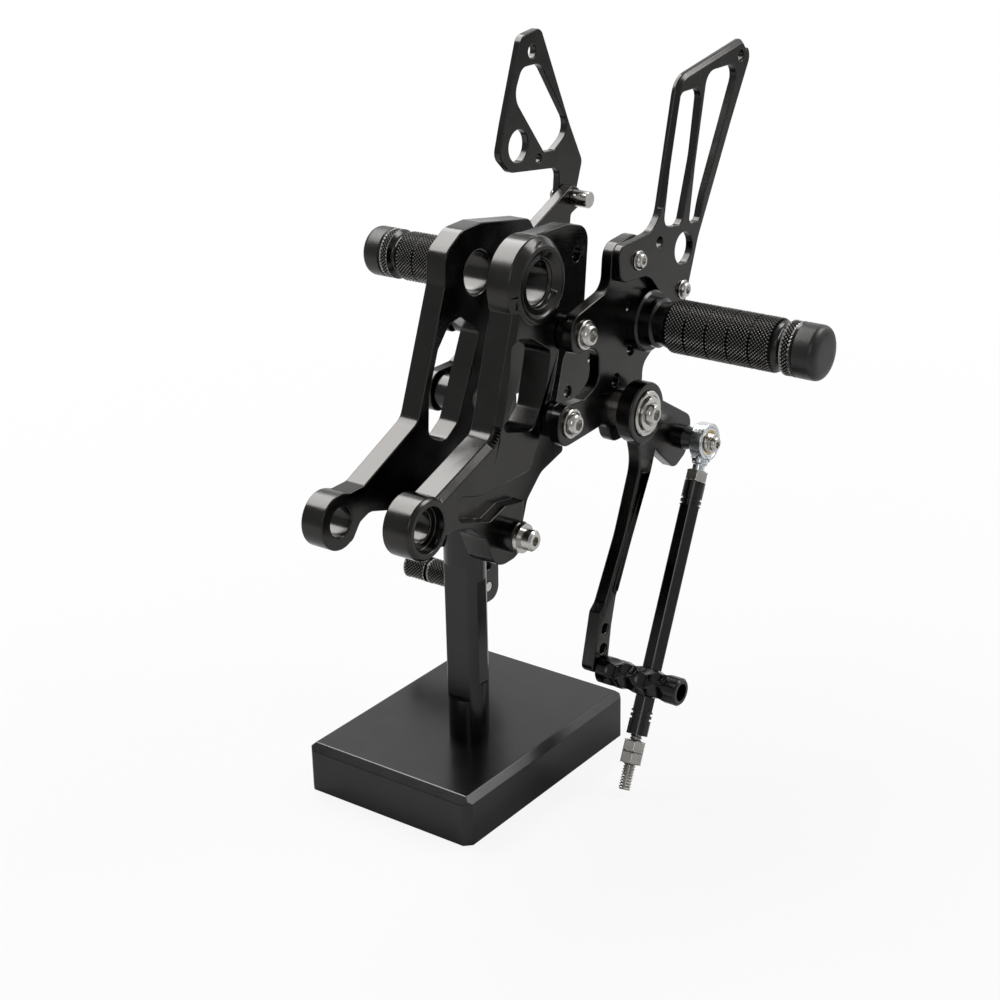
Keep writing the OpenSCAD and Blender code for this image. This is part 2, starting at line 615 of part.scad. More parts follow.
module rod_end_spacer() {
    color(steel) right_side() difference() {
        turned(lever_out, ball_point, [[0, 0], [0, 6], [3, 6], [ball_x - ball_half - lever_out, 4.2],
            [ball_x - ball_half - lever_out, 0]]);
        bar(lever_out - 1, 12, ball_point, rod_thread_d + 2 * fit);
    }
}
module rod_end_bolt() {
    color(steel) right_side()
        cap_bolt(ball_x + ball_half, ball_point, rod_thread_d, ball_x + ball_half - lever_in, 9.5, 3,
            3.8);
}
module hex_nut(z) {
    difference() {
        intersection() {
            down(z, nut_l, nut_flats * hexagon, 6);
            translate([0, 0, -z - nut_l]) rotate_extrude() polygon([[0, 0], [nut_flats * 0.5, 0],
                [nut_flats * 0.585, 0.8], [nut_flats * 0.585, nut_l - 0.8], [nut_flats * 0.5, nut_l],
                    [0, nut_l]]);
        }
        down(z - 1, nut_l + 2, rod_thread_d + 2 * fit);
    }
}
sleeve_z = shank_l + nut_l + gap / 3;
module rod_upper_nut() { color(steel) rod_frame() hex_nut(shank_l); }
module linkage_rod() {
    end_l = 12;
    groove_d = rod_d - 0.6;
    color(black) rod_frame() difference() {
        union() {
            down(sleeve_z, end_l, rod_d + 1);
            down(sleeve_z + rod_l - end_l, end_l, rod_d + 1);
            intersection() {
                down(sleeve_z + 1, rod_l - 2, rod_d * hexagon, 6);
                down(sleeve_z + 1, rod_l - 2, rod_d + 1);
            }
        }
        for (z = [sleeve_z + end_l - 4, sleeve_z + end_l - 1.5, sleeve_z + rod_l - end_l + 1,
            sleeve_z + rod_l - end_l + 3.5])
            difference() {
                down(z, 1, 14);
                down(z - 1, 3, groove_d);
            }
        down(sleeve_z - 1, 14, rod_thread_d + 2 * fit);
        down(sleeve_z + rod_l - 13, 14, rod_thread_d + 2 * fit);
    }
}
stud_end = sleeve_z + rod_l + 27;
module rod_lower_nuts() {
    color(steel) rod_frame() {
        hex_nut(sleeve_z + rod_l + 3);
        hex_nut(sleeve_z + rod_l + 3 + nut_l + gap / 3);
    }
}
module rod_stud() {
    color(steel) rod_frame() down(sleeve_z + rod_l - 12, stud_end - sleeve_z - rod_l + 12,
        rod_thread_d);
}

base_plate();
post();
post_bolts();
bracket_right();
bracket_left();
peg_plate_right();
peg_plate_left();
plate_spacers_right();
plate_spacers_left();
plate_bolts_right();
plate_bolts_left();
heel_guard_right();
heel_guard_left();
guard_bolts_right();
guard_bolts_left();
footpeg_right();
footpeg_left();
peg_collar_right();
peg_collar_left();
peg_cap_right();
peg_cap_left();
peg_bolt_right();
peg_bolt_left();
shift_lever();
shift_bearing();
shift_pivot_bolt();
shift_toe_peg();
shift_toe_bolt();
brake_lever();
brake_bearing();
brake_pivot_bolt();
brake_toe_peg();
brake_toe_bolt();
rod_end();
rod_race();
rod_ball();
rod_end_bolt();
rod_end_spacer();
rod_upper_nut();
linkage_rod();
rod_lower_nuts();
rod_stud();
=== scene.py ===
import json
import math

import bmesh
import bpy
from mathutils import Matrix, Vector

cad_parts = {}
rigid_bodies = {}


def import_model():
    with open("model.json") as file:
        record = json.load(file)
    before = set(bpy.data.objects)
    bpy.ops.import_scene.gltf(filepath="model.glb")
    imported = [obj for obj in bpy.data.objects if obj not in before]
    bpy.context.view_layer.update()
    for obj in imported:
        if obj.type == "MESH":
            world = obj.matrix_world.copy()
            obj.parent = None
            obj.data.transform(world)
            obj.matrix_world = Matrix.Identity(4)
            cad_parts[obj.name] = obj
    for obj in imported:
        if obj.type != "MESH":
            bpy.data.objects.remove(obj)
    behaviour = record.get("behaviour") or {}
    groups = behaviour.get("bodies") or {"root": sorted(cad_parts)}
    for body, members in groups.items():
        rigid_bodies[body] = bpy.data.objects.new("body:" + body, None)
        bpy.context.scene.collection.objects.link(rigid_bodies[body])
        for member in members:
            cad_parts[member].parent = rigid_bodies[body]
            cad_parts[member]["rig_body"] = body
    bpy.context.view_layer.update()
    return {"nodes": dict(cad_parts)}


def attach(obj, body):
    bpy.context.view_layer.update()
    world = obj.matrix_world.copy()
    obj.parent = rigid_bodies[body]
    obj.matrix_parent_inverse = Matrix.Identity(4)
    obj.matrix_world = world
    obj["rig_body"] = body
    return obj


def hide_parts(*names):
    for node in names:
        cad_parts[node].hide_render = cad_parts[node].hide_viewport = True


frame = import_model()
MM = 0.001
FULL_TURN = 2 * math.pi
SIXTH_TURN = math.pi / 3
SHARP_ANGLE = math.radians(30)      # faces that meet at more than this make a visible edge


# ---------------------------------------------------------------- colour and nodes

def linear(hex_code):
    """An sRGB hex colour, such as "#1c1c1e", as a linear RGBA."""
    channels = [int(hex_code[i:i + 2], 16) / 255 for i in (1, 3, 5)]
    return [c / 12.92 if c <= 0.04045 else ((c + 0.055) / 1.055) ** 2.4
            for c in channels] + [1.0]


def add_node(tree, kind, links=None, **settings):
    """Adds one node with its settings. What feeds a socket is another socket or a plain value."""
    node = tree.nodes.new(kind)
    for name, value in settings.items():
        setattr(node, name, value)
    for socket, source in (links or {}).items():
        if isinstance(source, bpy.types.NodeSocket):
            tree.links.new(source, node.inputs[socket])
        else:
            node.inputs[socket].default_value = source
    return node


def start_material(name):
    """A material with its shader and output, and the Object coordinates to build on."""
    material = bpy.data.materials.new(name)
    material.use_nodes = True
    tree = material.node_tree
    tree.nodes.clear()
    shader = add_node(tree, "ShaderNodeBsdfPrincipled")
    add_node(tree, "ShaderNodeOutputMaterial", {"Surface": shader.outputs["BSDF"]})
    place = add_node(tree, "ShaderNodeTexCoord")
    return material, tree, shader, place.outputs["Object"]


# The colour sockets of a Mix node go by number, because its other kinds share their names.
MIX_FIRST, MIX_SECOND, MIX_RESULT = 6, 7, 2
# A noise keeps to the middle of its range, so this part of it is spread over the roughness.
CLOUD_SPAN = (0.3, 0.7)


def metal_skin(tree, shader, shade, dark, light, wear, wear_span, rough_span):
    """Makes the shader a metal, coloured by the shade and more or less glossy by the wear."""
    tint = add_node(tree, "ShaderNodeMix", {"Factor": shade, MIX_FIRST: linear(dark),
                                            MIX_SECOND: linear(light)}, data_type="RGBA")
    tree.links.new(tint.outputs[MIX_RESULT], shader.inputs["Base Color"])
    sheen = add_node(tree, "ShaderNodeMapRange", {
        "Value": wear, "From Min": wear_span[0], "From Max": wear_span[1],
        "To Min": rough_span[0], "To Max": rough_span[1]})
    tree.links.new(sheen.outputs["Result"], shader.inputs["Roughness"])
    shader.inputs["Metallic"].default_value = 1.0


# Black anodised aluminium: a clear oxide layer dyed black over milled metal. It mirrors its
# surroundings at a few parts in a hundred. The milling cutter stood along X, so its marks are
# fine lines across every edge that it cut, and only a faint speckle on the faces left and right.
def anodised(name, dark, light, rough_span, grain_mm, grain_height, mark_stretch=1.0):
    material, tree, shader, place = start_material(name)
    cloud = add_node(tree, "ShaderNodeTexNoise", {"Vector": place, "Scale": 1 / (14 * MM),
                                                  "Detail": 3.0})
    metal_skin(tree, shader, cloud.outputs["Fac"], dark, light, cloud.outputs["Fac"],
               CLOUD_SPAN, rough_span)
    drawn = add_node(tree, "ShaderNodeMapping", {"Vector": place,
                                                 "Scale": (1 / mark_stretch, 1.0, 1.0)})
    grain = add_node(tree, "ShaderNodeTexNoise", {"Vector": drawn.outputs["Vector"],
                                                  "Scale": 1 / (grain_mm * MM), "Detail": 2.0})
    relief = add_node(tree, "ShaderNodeBump", {"Height": grain.outputs["Fac"], "Strength": 1.0,
                                               "Distance": grain_height * MM})
    tree.links.new(relief.outputs["Normal"], shader.inputs["Normal"])
    return material


# Bare metal: bright, with fine marks across the direction that the tool moved in. The wave runs
# through 20 radians in one length of its scale, so the marks stand 2 pi times mark_mm apart.
WAVE_RADIANS = 20


def bare_metal(name, dark, light, roughness, mark_mm, mark_height, axis="X"):
    material, tree, shader, place = start_material(name)
    cloud = add_node(tree, "ShaderNodeTexNoise", {"Vector": place, "Scale": 1 / (5 * MM),
                                                  "Detail": 4.0})
    metal_skin(tree, shader, cloud.outputs["Fac"], dark, light, cloud.outputs["Fac"],
               CLOUD_SPAN, (roughness * 0.8, roughness * 1.25))
    marks = add_node(tree, "ShaderNodeTexWave", {
        "Vector": place, "Scale": 1 / (mark_mm * MM) / WAVE_RADIANS, "Distortion": 0.6,
        "Detail": 2.0}, wave_type="BANDS", bands_direction=axis)
    relief = add_node(tree, "ShaderNodeBump", {"Height": marks.outputs["Fac"], "Strength": 0.5,
                                               "Distance": mark_height * MM})
    tree.links.new(relief.outputs["Normal"], shader.inputs["Normal"])
    return material


black_milled = anodised("milled_black_anodised_aluminium", "#383736", "#444342", (0.17, 0.27),
                        0.35, 0.008, 14)
black_turned = anodised("turned_black_anodised_aluminium", "#363636", "#424241", (0.16, 0.26),
                        0.5, 0.003)
# The peg caps are blasted with fine beads before the dye, which leaves them matt.
black_satin = anodised("bead_blasted_black_aluminium", "#3a3a3a", "#464645", (0.34, 0.42),
                       0.4, 0.006)
stand_black = anodised("black_anodised_stand", "#3b3b3b", "#404040", (0.22, 0.26), 0.6, 0.003)
stainless = bare_metal("stainless_steel", "#b2b0ac", "#d2d0cc", 0.2, 0.4, 0.004)
zinc_plate = bare_metal("bright_zinc_plate", "#c4c9cc", "#e2e6e8", 0.2, 0.5, 0.006, "Z")
race_brass = bare_metal("plain_brass", "#b08d4c", "#cdb070", 0.3, 0.5, 0.004)

finish = {"post": stand_black, "base_plate": stand_black, "rod_end": zinc_plate,
          "rod_race": race_brass, "rod_end_spacer": black_turned}
steel_words = ("bolt", "bearing", "nut", "stud", "ball", "spacer")
for name, node in frame["nodes"].items():
    if name in finish:
        look = finish[name]
    elif name.startswith("plate_spacers"):
        look = black_turned
    elif any(word in name for word in steel_words):
        look = stainless
    elif name.startswith(("footpeg", "peg_c", "linkage_rod")) or name.endswith("toe_peg"):
        look = black_turned
    else:
        look = black_milled
    node.data.materials.clear()
    node.data.materials.append(look)


# ---------------------------------------------------------------- pieces

def mesh_from(name, bm):
    """Turns a finished bmesh into a mesh."""
    mesh = bpy.data.meshes.new(name)
    bm.to_mesh(mesh)
    bm.free()
    return mesh


def in_scene(name, data):
    """An object for a mesh, a lamp or a camera, linked into the scene at the origin."""
    thing = bpy.data.objects.new(name, data)
    bpy.context.scene.collection.objects.link(thing)
    return thing


def mesh_piece(name, bm, look, body):
    piece = in_scene(name, mesh_from(name, bm))
    piece.data.materials.append(look)
    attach(piece, body)
    return piece


def body_of_node(node):
    return frame["nodes"][node]["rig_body"]


def crease(bm, angle):
    """Keeps the edges sharp at which two faces meet at the angle or more."""
    for edge in bm.edges:
        edge.smooth = len(edge.link_faces) == 2 and edge.calc_face_angle(0) < angle


def bevelled(piece, width, segments, angle):
    """Breaks the sharp edges of a piece by a bevel of the width in mm."""
    cut = piece.modifiers.new("edge_break", "BEVEL")
    cut.width = width * MM
    cut.segments = segments
    cut.limit_method = "ANGLE"
    cut.angle_limit = angle
    return cut


def edge_broken(node, width, look, segments=2):
    """A copy of a machined part with every sharp edge broken by a small bevel."""
    bm = bmesh.new()
    bm.from_mesh(frame["nodes"][node].data)
    bmesh.ops.remove_doubles(bm, verts=bm.verts, dist=0.004 * MM)
    bmesh.ops.dissolve_limit(bm, angle_limit=math.radians(0.8), verts=bm.verts, edges=bm.edges)
    crease(bm, SHARP_ANGLE)
    for face in bm.faces:
        face.smooth = True
    piece = mesh_piece(node + "_edges", bm, look, body_of_node(node))
    cut = bevelled(piece, width, segments, SHARP_ANGLE)
    cut.use_clamp_overlap = False
    cut.loop_slide = False
    cut.harden_normals = True
    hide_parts(node)


for plate, width in (("bracket_right", 0.6), ("bracket_left", 0.6),
                     ("peg_plate_right", 0.7), ("peg_plate_left", 0.7),
                     ("heel_guard_right", 0.5), ("heel_guard_left", 0.5),
                     ("shift_lever", 1.0), ("brake_lever", 1.0)):
    edge_broken(plate, width, black_milled)
edge_broken("base_plate", 0.4, stand_black)
edge_broken("rod_end", 0.9, zinc_plate, segments=4)
edge_broken("rod_lower_nuts", 0.4, stainless)
edge_broken("rod_upper_nut", 0.4, stainless)


# A knurl is a field of small pyramids between two crossing sets of grooves. Its points stand at
# every second place round the piece and along it, and the places between are the groove bottoms.
# Its points are 1.9 mm apart, coarser than on such pegs, because a finer one doesn't show.
knurl_step = 0.9535         # mm from a point to the groove bottom beside it
knurl_depth = 0.65          # mm


def knurl_rows(start, length, radius):
    """The places of a knurled band's rows along the axis, with their radius."""
    count = round(length / knurl_step)
    return [(start + length * i / count, radius) for i in range(count + 1)]


# Knurled black anodised aluminium: painted shade darkens the grooves, and a painted highlight over
# rubbed wear makes the points a lighter grey. How far a place is from the peg's axis tells groove
# from point.
def knurled(name, axis, radius):
    material, tree, shader, place = start_material(name)
    centred = add_node(tree, "ShaderNodeMapping", {
        "Vector": place, "Scale": (0, 1, 1), "Location": (0, -axis[0] * MM, -axis[1] * MM)})
    reach = add_node(tree, "ShaderNodeVectorMath", {0: centred.outputs["Vector"]},
                     operation="LENGTH")
    height = add_node(tree, "ShaderNodeMapRange", {
        "Value": reach.outputs["Value"], "From Min": (radius - 0.5) * MM,
        "From Max": radius * MM})
    wear = add_node(tree, "ShaderNodeTexNoise", {"Vector": place, "Scale": 1 / (3 * MM),
                                                 "Detail": 3.0})
    # Painted light: the groove colour is painted shade, and the point colour is a painted
    # highlight.
    metal_skin(tree, shader, height.outputs["Result"], "#151515", "#a3a19e",
               wear.outputs["Fac"], (0.0, 1.0), (0.24, 0.36))
    return material


def from_axis(vert):
    """How far a vertex is from the X axis, in mm."""
    return math.hypot(vert.co.y, vert.co.z) / MM


def turn_of(vert):
    """The angle at which a vertex stands round the X axis."""
    return math.atan2(vert.co.y, vert.co.z)


def lathe(profile, steps=48, knurls=(), rings=(), key_r=None, closed=False):
    """A turned part along X. Its profile of (along, radius) in mm is spun round the axis.

    Knurls are bands of (start, length, radius), rings are the places of narrow grooves, and
    key_r is the radius of the round hole that becomes a hex socket. A closed profile is a loop.
    """
    bm = bmesh.new()
    verts = [bm.verts.new((along * MM, 0, radius * MM)) for along, radius in profile]
    edges = [bm.edges.new(pair) for pair in zip(verts, verts[1:] + (verts[:1] if closed else []))]
    bmesh.ops.spin(bm, geom=verts + edges, cent=(0, 0, 0), axis=(1, 0, 0), dvec=(0, 0, 0),
                   angle=FULL_TURN, steps=steps, use_merge=True, use_duplicate=False)
    bmesh.ops.remove_doubles(bm, verts=bm.verts, dist=0.001 * MM)
    cuts = [vert for vert in bm.verts if any(abs(vert.co.x / MM - ring) < 0.1 for ring in rings)]
    grooves = []
    for start, length, radius in knurls:
        rows = round(length / knurl_step)
        for vert in bm.verts:
            row = (vert.co.x / MM - start) / (length / rows)
            on_skin = abs(from_axis(vert) - radius) < 0.05
            turn = round(turn_of(vert) / FULL_TURN * steps)
            if on_skin and 0.5 < row < rows - 0.5 and (round(row) + turn) % 2:
                grooves.append(vert)
    deep = 1 - knurl_depth / max(radius for along, radius in profile)
    bmesh.ops.scale(bm, vec=(1, deep, deep), verts=list(set(grooves + cuts)))
    bmesh.ops.connect_verts(bm, verts=grooves)
    if key_r:
        for vert in bm.verts:
            if abs(from_axis(vert) - key_r) < 0.01:
                from_flat = turn_of(vert) % SIXTH_TURN - SIXTH_TURN / 2
                vert.co.yz = vert.co.yz * (math.cos(SIXTH_TURN / 2) / math.cos(from_flat))
    crease(bm, SHARP_ANGLE)
    marks = set(grooves)
    for face in bm.faces:
        face.material_index = int(any(vert in marks for vert in face.verts))
        face.smooth = not face.material_index
    bmesh.ops.recalc_face_normals(bm, faces=bm.faces)
    return bm


def stationed(bm, hand, along, y, z):
    """Puts a turned part on its station, which is measured outward from the middle of the post."""
    if hand == "left":
        bmesh.ops.rotate(bm, verts=bm.verts, matrix=Matrix.Rotation(math.pi, 3, "Z"))
    outward = along if hand == "right" else -along
    bmesh.ops.translate(bm, verts=bm.verts, vec=Vector((post_x + outward, y, z)) * MM)
    return bm


def turned_piece(name, node, parts, *looks, instead=True):
    """One piece out of turned parts. It stands instead of the node, or is fitted over it."""
    whole = bmesh.new()
    for part in parts:
        mesh = mesh_from("turned_part", part)
        whole.from_mesh(mesh)
        bpy.data.meshes.remove(mesh)
    piece = mesh_piece(name, whole, looks[0], body_of_node(node))
    for look in looks[1:]:
        piece.data.materials.append(look)
    if instead:
        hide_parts(node)


def button_head(at, flange_r, dome_r, height, key_r):
    """The profile of a flanged button head from its seat to the bottom of its hex socket."""
    flange = height * 0.28
    top_of_flange, seam, socket_end = at + flange, at + flange * 0.6, at + height * 0.4
    corner, lip = 0.25, key_r + 0.5
    dome = [(top_of_flange + (height - flange) * math.sin(math.pi * t / 16),
             lip + (dome_r - lip) * math.cos(math.pi * t / 16)) for t in range(9)]
    return ([(at, flange_r - corner), (at + corner, flange_r),
             (top_of_flange - corner, flange_r), (top_of_flange, flange_r - corner),
             (top_of_flange, dome_r + 0.5), (seam, dome_r + 0.4), (seam, dome_r)]
            + dome + [(at + height, key_r), (socket_end, key_r), (socket_end, 0)])


# Stations outward from the middle of the post, and the places (y, z) that the parts turn about.
post_x = 10.0
bracket_face, plate_in, plate_out = 10.0, 30.0, 36.0
guard_out, lever_in, lever_out = 40.0, 41.0, 48.0
places = {"right": {"peg": (85, 215), "pivot": (68.5, 175),
                    "plate_bolts": [(36, 220.5), (24, 181)],
                    "guard_bolts": [(75, 247), (115, 223)]},
          "left": {"peg": (92, 223), "pivot": (75.5, 183),
                   "plate_bolts": [(28, 222), (14, 187.5)],
                   "guard_bolts": [(115.5, 231), (124.5, 257.3)]}}
post_bolt, rod_ball = (-12.5, 136), (103, 152)
shift_toe, brake_toe = (31.5, 54.5), (60, 64)

# The pegs: a knurled barrel with four narrow rings cut in it, a polished waist, a knurled ring and
# a smooth cap with a low dome.
peg_r, barrel_start, barrel_length = 13.0, 2.0, 57.2
waist_r, waist_length, cap_end = 10.5, 4.0, 81.5
collar_length, hub_r = 16.5, 11.2
bolt_hole_end, bolt_hole_r = 25, 4.05
spigot_hole_start, spigot_hole_r = 54.5, 5.05
spigot_start, spigot_r = 55.5, 5
barrel_end = barrel_start + barrel_length
waist = [(barrel_end + waist_length * t / 10, waist_r + (peg_r - 1 - waist_r) * (t / 5 - 1) ** 2)
         for t in range(11)]
ring_start, ring_end = barrel_end + waist_length + 0.8, 69.6
ring_rows = (ring_start, ring_end - 0.8 - ring_start, peg_r)
peg_outline = ([(bolt_hole_end, 0), (bolt_hole_end, bolt_hole_r), (0, bolt_hole_r), (0, hub_r),
                (barrel_start - 0.4, hub_r), (barrel_start, hub_r + 0.4)]
               + knurl_rows(barrel_start, barrel_length, peg_r)[2:-2]
               + waist + knurl_rows(*ring_rows)
               + [(ring_end, peg_r - 0.8), (ring_end, spigot_hole_r),
                  (spigot_hole_start, spigot_hole_r), (spigot_hole_start, 0)])
cap_start, dome_start = ring_end + 0.1, cap_end - 3.8
dome_fullness = 0.32        # the lower, the flatter the dome is and the tighter its rim
cap_outline = ([(spigot_start, 0), (spigot_start, spigot_r), (cap_start, spigot_r),
                (cap_start, peg_r - 0.7), (cap_start + 0.7, peg_r)]
               + [(dome_start + (cap_end - dome_start) * math.sin(math.pi * t / 40),
                   peg_r * math.cos(math.pi * t / 40) ** dome_fullness) for t in range(20)]
               + [(cap_end, 0)])
for hand, spot in places.items():
    start = plate_out + collar_length
    barrel = lathe(peg_outline, 86, knurls=[(barrel_start, barrel_length, peg_r), ring_rows],
                   rings=[barrel_start + barrel_length * i / 5 for i in (1, 2, 3, 4)])
    turned_piece("footpeg_%s_knurled" % hand, "footpeg_" + hand,
                 [stationed(barrel, hand, start, *spot["peg"])],
                 black_turned, knurled("knurled_black_peg_" + hand, spot["peg"], peg_r))
    turned_piece("peg_cap_%s_domed" % hand, "peg_cap_" + hand,
                 [stationed(lathe(cap_outline, 104), hand, start, *spot["peg"])], black_satin)

# Both toe pegs are 45 mm long. A bolt holds each from outside, with its head in a counterbore.
toe_r, toe_length, toe_bolt_r, toe_socket_r, toe_socket_start = 6.8, 45.0, 2.6, 4.3, 12
toe_inner_end = [(toe_socket_start, toe_bolt_r), (0, toe_bolt_r), (0, toe_r - 0.6)]
toe_outer_end = [(toe_length, toe_r - 0.8), (toe_length, toe_socket_r),
                 (toe_socket_start, toe_socket_r)]

# The brake toe peg: three knurled bands with grooves between them.
bands = [(0.6, 13.4), (16, 13), (31, 13.2)]
groove_r = toe_r - 1
outline = list(toe_inner_end)
for start, length in bands:
    outline += [(start, groove_r)] if start > 1 else []
    outline += knurl_rows(start, length, toe_r)
    outline += [(start + length, groove_r)] if start < 20 else []
toe_peg = lathe(outline + toe_outer_end, 44, closed=True,
                knurls=[(start, length, toe_r) for start, length in bands])
turned_piece("brake_toe_peg_knurled", "brake_toe_peg",
             [stationed(toe_peg, "left", lever_out, *brake_toe)],
             black_turned, knurled("knurled_black_toe_peg", brake_toe, toe_r))

# The gear toe peg: scalloped by rows of round dimples, six in each, and each row is turned half
# a step from the next.
dimple_r, dimple_depth, dimple_gap, first_row = 3.8, 1.25, 8.5, 9
toe_peg = lathe(toe_inner_end + [(0.6, toe_r)] + [(1.1 + 0.55 * i, toe_r) for i in range(78)]
                + [(toe_length - 0.8, toe_r)] + toe_outer_end, 72, closed=True)
for vert in toe_peg.verts:
    along = vert.co.x / MM
    if 4.5 < along < 38 and from_axis(vert) > toe_r - 0.05:
        row = max(0, min(3, round((along - first_row) / dimple_gap)))
        half_step = SIXTH_TURN / 2
        from_middle = (turn_of(vert) + half_step * (row % 2) + half_step) % SIXTH_TURN - half_step
        off = math.hypot(along - first_row - row * dimple_gap, toe_r * from_middle) / dimple_r
        vert.co.yz = vert.co.yz * (1 - dimple_depth * max(0, 1 - off * off) / toe_r)
crease(toe_peg, math.radians(38))
turned_piece("shift_toe_peg_scalloped", "shift_toe_peg",
             [stationed(toe_peg, "right", lever_out, *shift_toe)], black_turned)

# The left peg plate runs on behind the pedal, where the brake cylinder would be bolted.
cylinder_plate_face, cylinder_plate_t = -20.05, 5.9
corners = [(90, 200), (112, 205), (126, 196), (152, 178),
           (156, 152), (141, 141), (106, 145), (90, 168)]
bm = bmesh.new()
rim = [bm.verts.new(Vector((cylinder_plate_face, y, z)) * MM) for y, z in corners]
grown = bmesh.ops.extrude_face_region(bm, geom=[bm.faces.new(rim)])["geom"]
bmesh.ops.translate(bm, verts=[part for part in grown if isinstance(part, bmesh.types.BMVert)],
                    vec=(-cylinder_plate_t * MM, 0, 0))
across_plate = [edge for edge in bm.edges
                if abs(edge.verts[0].co.x - edge.verts[1].co.x) > 5 * MM]
bmesh.ops.bevel(bm, geom=across_plate, offset=6 * MM, offset_type="OFFSET", affect="EDGES",
                segments=8, profile=0.5, material=-1, clamp_overlap=True)
bmesh.ops.recalc_face_normals(bm, faces=bm.faces)
cylinder_plate = mesh_piece("brake_cylinder_plate", bm, black_milled,
                            body_of_node("peg_plate_left"))
cylinder_bolt_r = 3.2
drill_outline = [(28, 0), (28, cylinder_bolt_r), (38, cylinder_bolt_r), (38, 0)]
for y, z in ((140, 168), (118, 156)):
    drill = stationed(lathe(drill_outline), "left", 0, y, z)
    driller = in_scene("drill", mesh_from("drill", drill))
    cut = cylinder_plate.modifiers.new("hole", "BOOLEAN")
    cut.operation = "DIFFERENCE"
    cut.object = driller
    bpy.context.view_layer.update()
    seen_plate = cylinder_plate.evaluated_get(bpy.context.evaluated_depsgraph_get())
    drilled = bpy.data.meshes.new_from_object(seen_plate)
    cylinder_plate.modifiers.clear()
    cylinder_plate.data = drilled
    bpy.data.objects.remove(driller)
bevelled(cylinder_plate, 0.7, 2, math.radians(40))

# Bolts with flanged button heads. Each lever turns on a sleeved bolt in a bearing with a grooved
# face. The left rear guard bolt screws into a long sleeve nut.
plate_key_r, guard_key_r, pivot_key_r, rod_key_r = 3.0, 1.9, 2.9, 2.1
plate_bolt = ([(bracket_face, 0), (bracket_face, 4), (plate_out, 4)]
              + button_head(plate_out, 7, 5.5, 4.5, plate_key_r))
guard_bolt = ([(plate_in, 0), (plate_in, 2.5), (guard_out, 2.5)]
              + button_head(guard_out, 4.75, 3.9, 3.0, guard_key_r))
sleeve_nut = [(20.5, 0), (20.5, 3.9), (20.9, 4.25), (29.6, 4.25), (30, 3.9), (30, 0)]
pivot_seat, shoulder_end = lever_out + 2.8, lever_in - 0.3
pivot_bolt = ([(plate_in, 0), (plate_in, 4), (plate_out, 4), (plate_out, 10),
               (shoulder_end, 10), (shoulder_end, 7.5), (pivot_seat, 7.5)]
              + button_head(pivot_seat, 8.2, 5.4, 4.0, pivot_key_r))
bearing_face, bearing_bore_r, bearing_r = lever_out + 2.5, 7.52, 11
groove_bottom = bearing_face - 0.8
bearing = [(lever_in, bearing_bore_r), (lever_in, bearing_r - 0.5), (lever_in + 0.5, bearing_r),
           (bearing_face - 0.5, bearing_r), (bearing_face, bearing_r - 0.5), (bearing_face, 9.2),
           (groove_bottom, 9.1), (groove_bottom, 8.6), (bearing_face, 8.5),
           (bearing_face, bearing_bore_r)]
# The collar outside each bracket, on the bolt through the post, is black round its side, and the
# end of it that the bolt's head presses on stays bright.
collar = [(25.1, 7.1), (25.1, 7.6), (32.4, 7.6), (33, 7.1)]
for hand, spot in places.items():
    turned_piece("plate_bolts_%s_button" % hand, "plate_bolts_" + hand,
                 [stationed(lathe(plate_bolt, key_r=plate_key_r), hand, 0, *at)
                  for at in spot["plate_bolts"]], stainless)
    bolts = [stationed(lathe(guard_bolt, key_r=guard_key_r), hand, 0, *at)
             for at in spot["guard_bolts"]]
    if hand == "left":
        bolts.append(stationed(lathe(sleeve_nut), hand, 0, *spot["guard_bolts"][1]))
    turned_piece("guard_bolts_%s_button" % hand, "guard_bolts_" + hand, bolts, stainless)
    lever = "shift" if hand == "right" else "brake"
    turned_piece(lever + "_pivot_bolt_button", lever + "_pivot_bolt",
                 [stationed(lathe(pivot_bolt, key_r=pivot_key_r), hand, 0, *spot["pivot"])],
                 stainless)
    turned_piece(lever + "_bearing_grooved", lever + "_bearing",
                 [stationed(lathe(bearing, 64, closed=True), hand, 0, *spot["pivot"])], stainless)
    turned_piece("post_bolt_collar_" + hand, "post_bolts",
                 [stationed(lathe(collar, closed=True), hand, 0, *post_bolt)], black_turned,
                 instead=False)

rod_bolt_seat = 65.5
rod_bolt = ([(lever_in, 0), (lever_in, 3), (rod_bolt_seat, 3)]
            + button_head(rod_bolt_seat, 4.75, 3.7, 3.0, rod_key_r))
turned_piece("rod_end_bolt_button", "rod_end_bolt",
             [stationed(lathe(rod_bolt, key_r=rod_key_r), "right", 0, *rod_ball)], stainless)

# The rod hangs down from its ball, along -Z of this frame. Its lower stud is threaded along its
# whole length. The 1 mm pitch is drawn as 1.4 mm, because a finer one doesn't show.
splay, lean = math.radians(4.2), math.radians(30.5912)
rod_frame = (Matrix.Translation((0.071, 0.103, 0.152)) @ Matrix.Rotation(-splay, 4, "Y")
             @ Matrix.Rotation(-lean, 4, "X"))
pitch, crest_r, root_r, turn_steps = 1.4, 3.0, 2.3, 28
stud_top, stud_end = 134.6, 173.6
bm = bmesh.new()
verts = [bm.verts.new(((crest_r if i % 2 else root_r) * MM, 0,
                       -(stud_top - 1.5 + i * pitch / 2) * MM))
         for i in range(round(2 * (stud_end - stud_top) / pitch) + 4)]
edges = [bm.edges.new(pair) for pair in zip(verts, verts[1:])]
bmesh.ops.spin(bm, geom=verts + edges, cent=(0, 0, 0), axis=(0, 0, 1),
               dvec=(0, 0, -pitch * MM / turn_steps), angle=FULL_TURN, steps=turn_steps,
               use_merge=False, use_duplicate=False)
bmesh.ops.remove_doubles(bm, verts=bm.verts, dist=0.01 * MM)
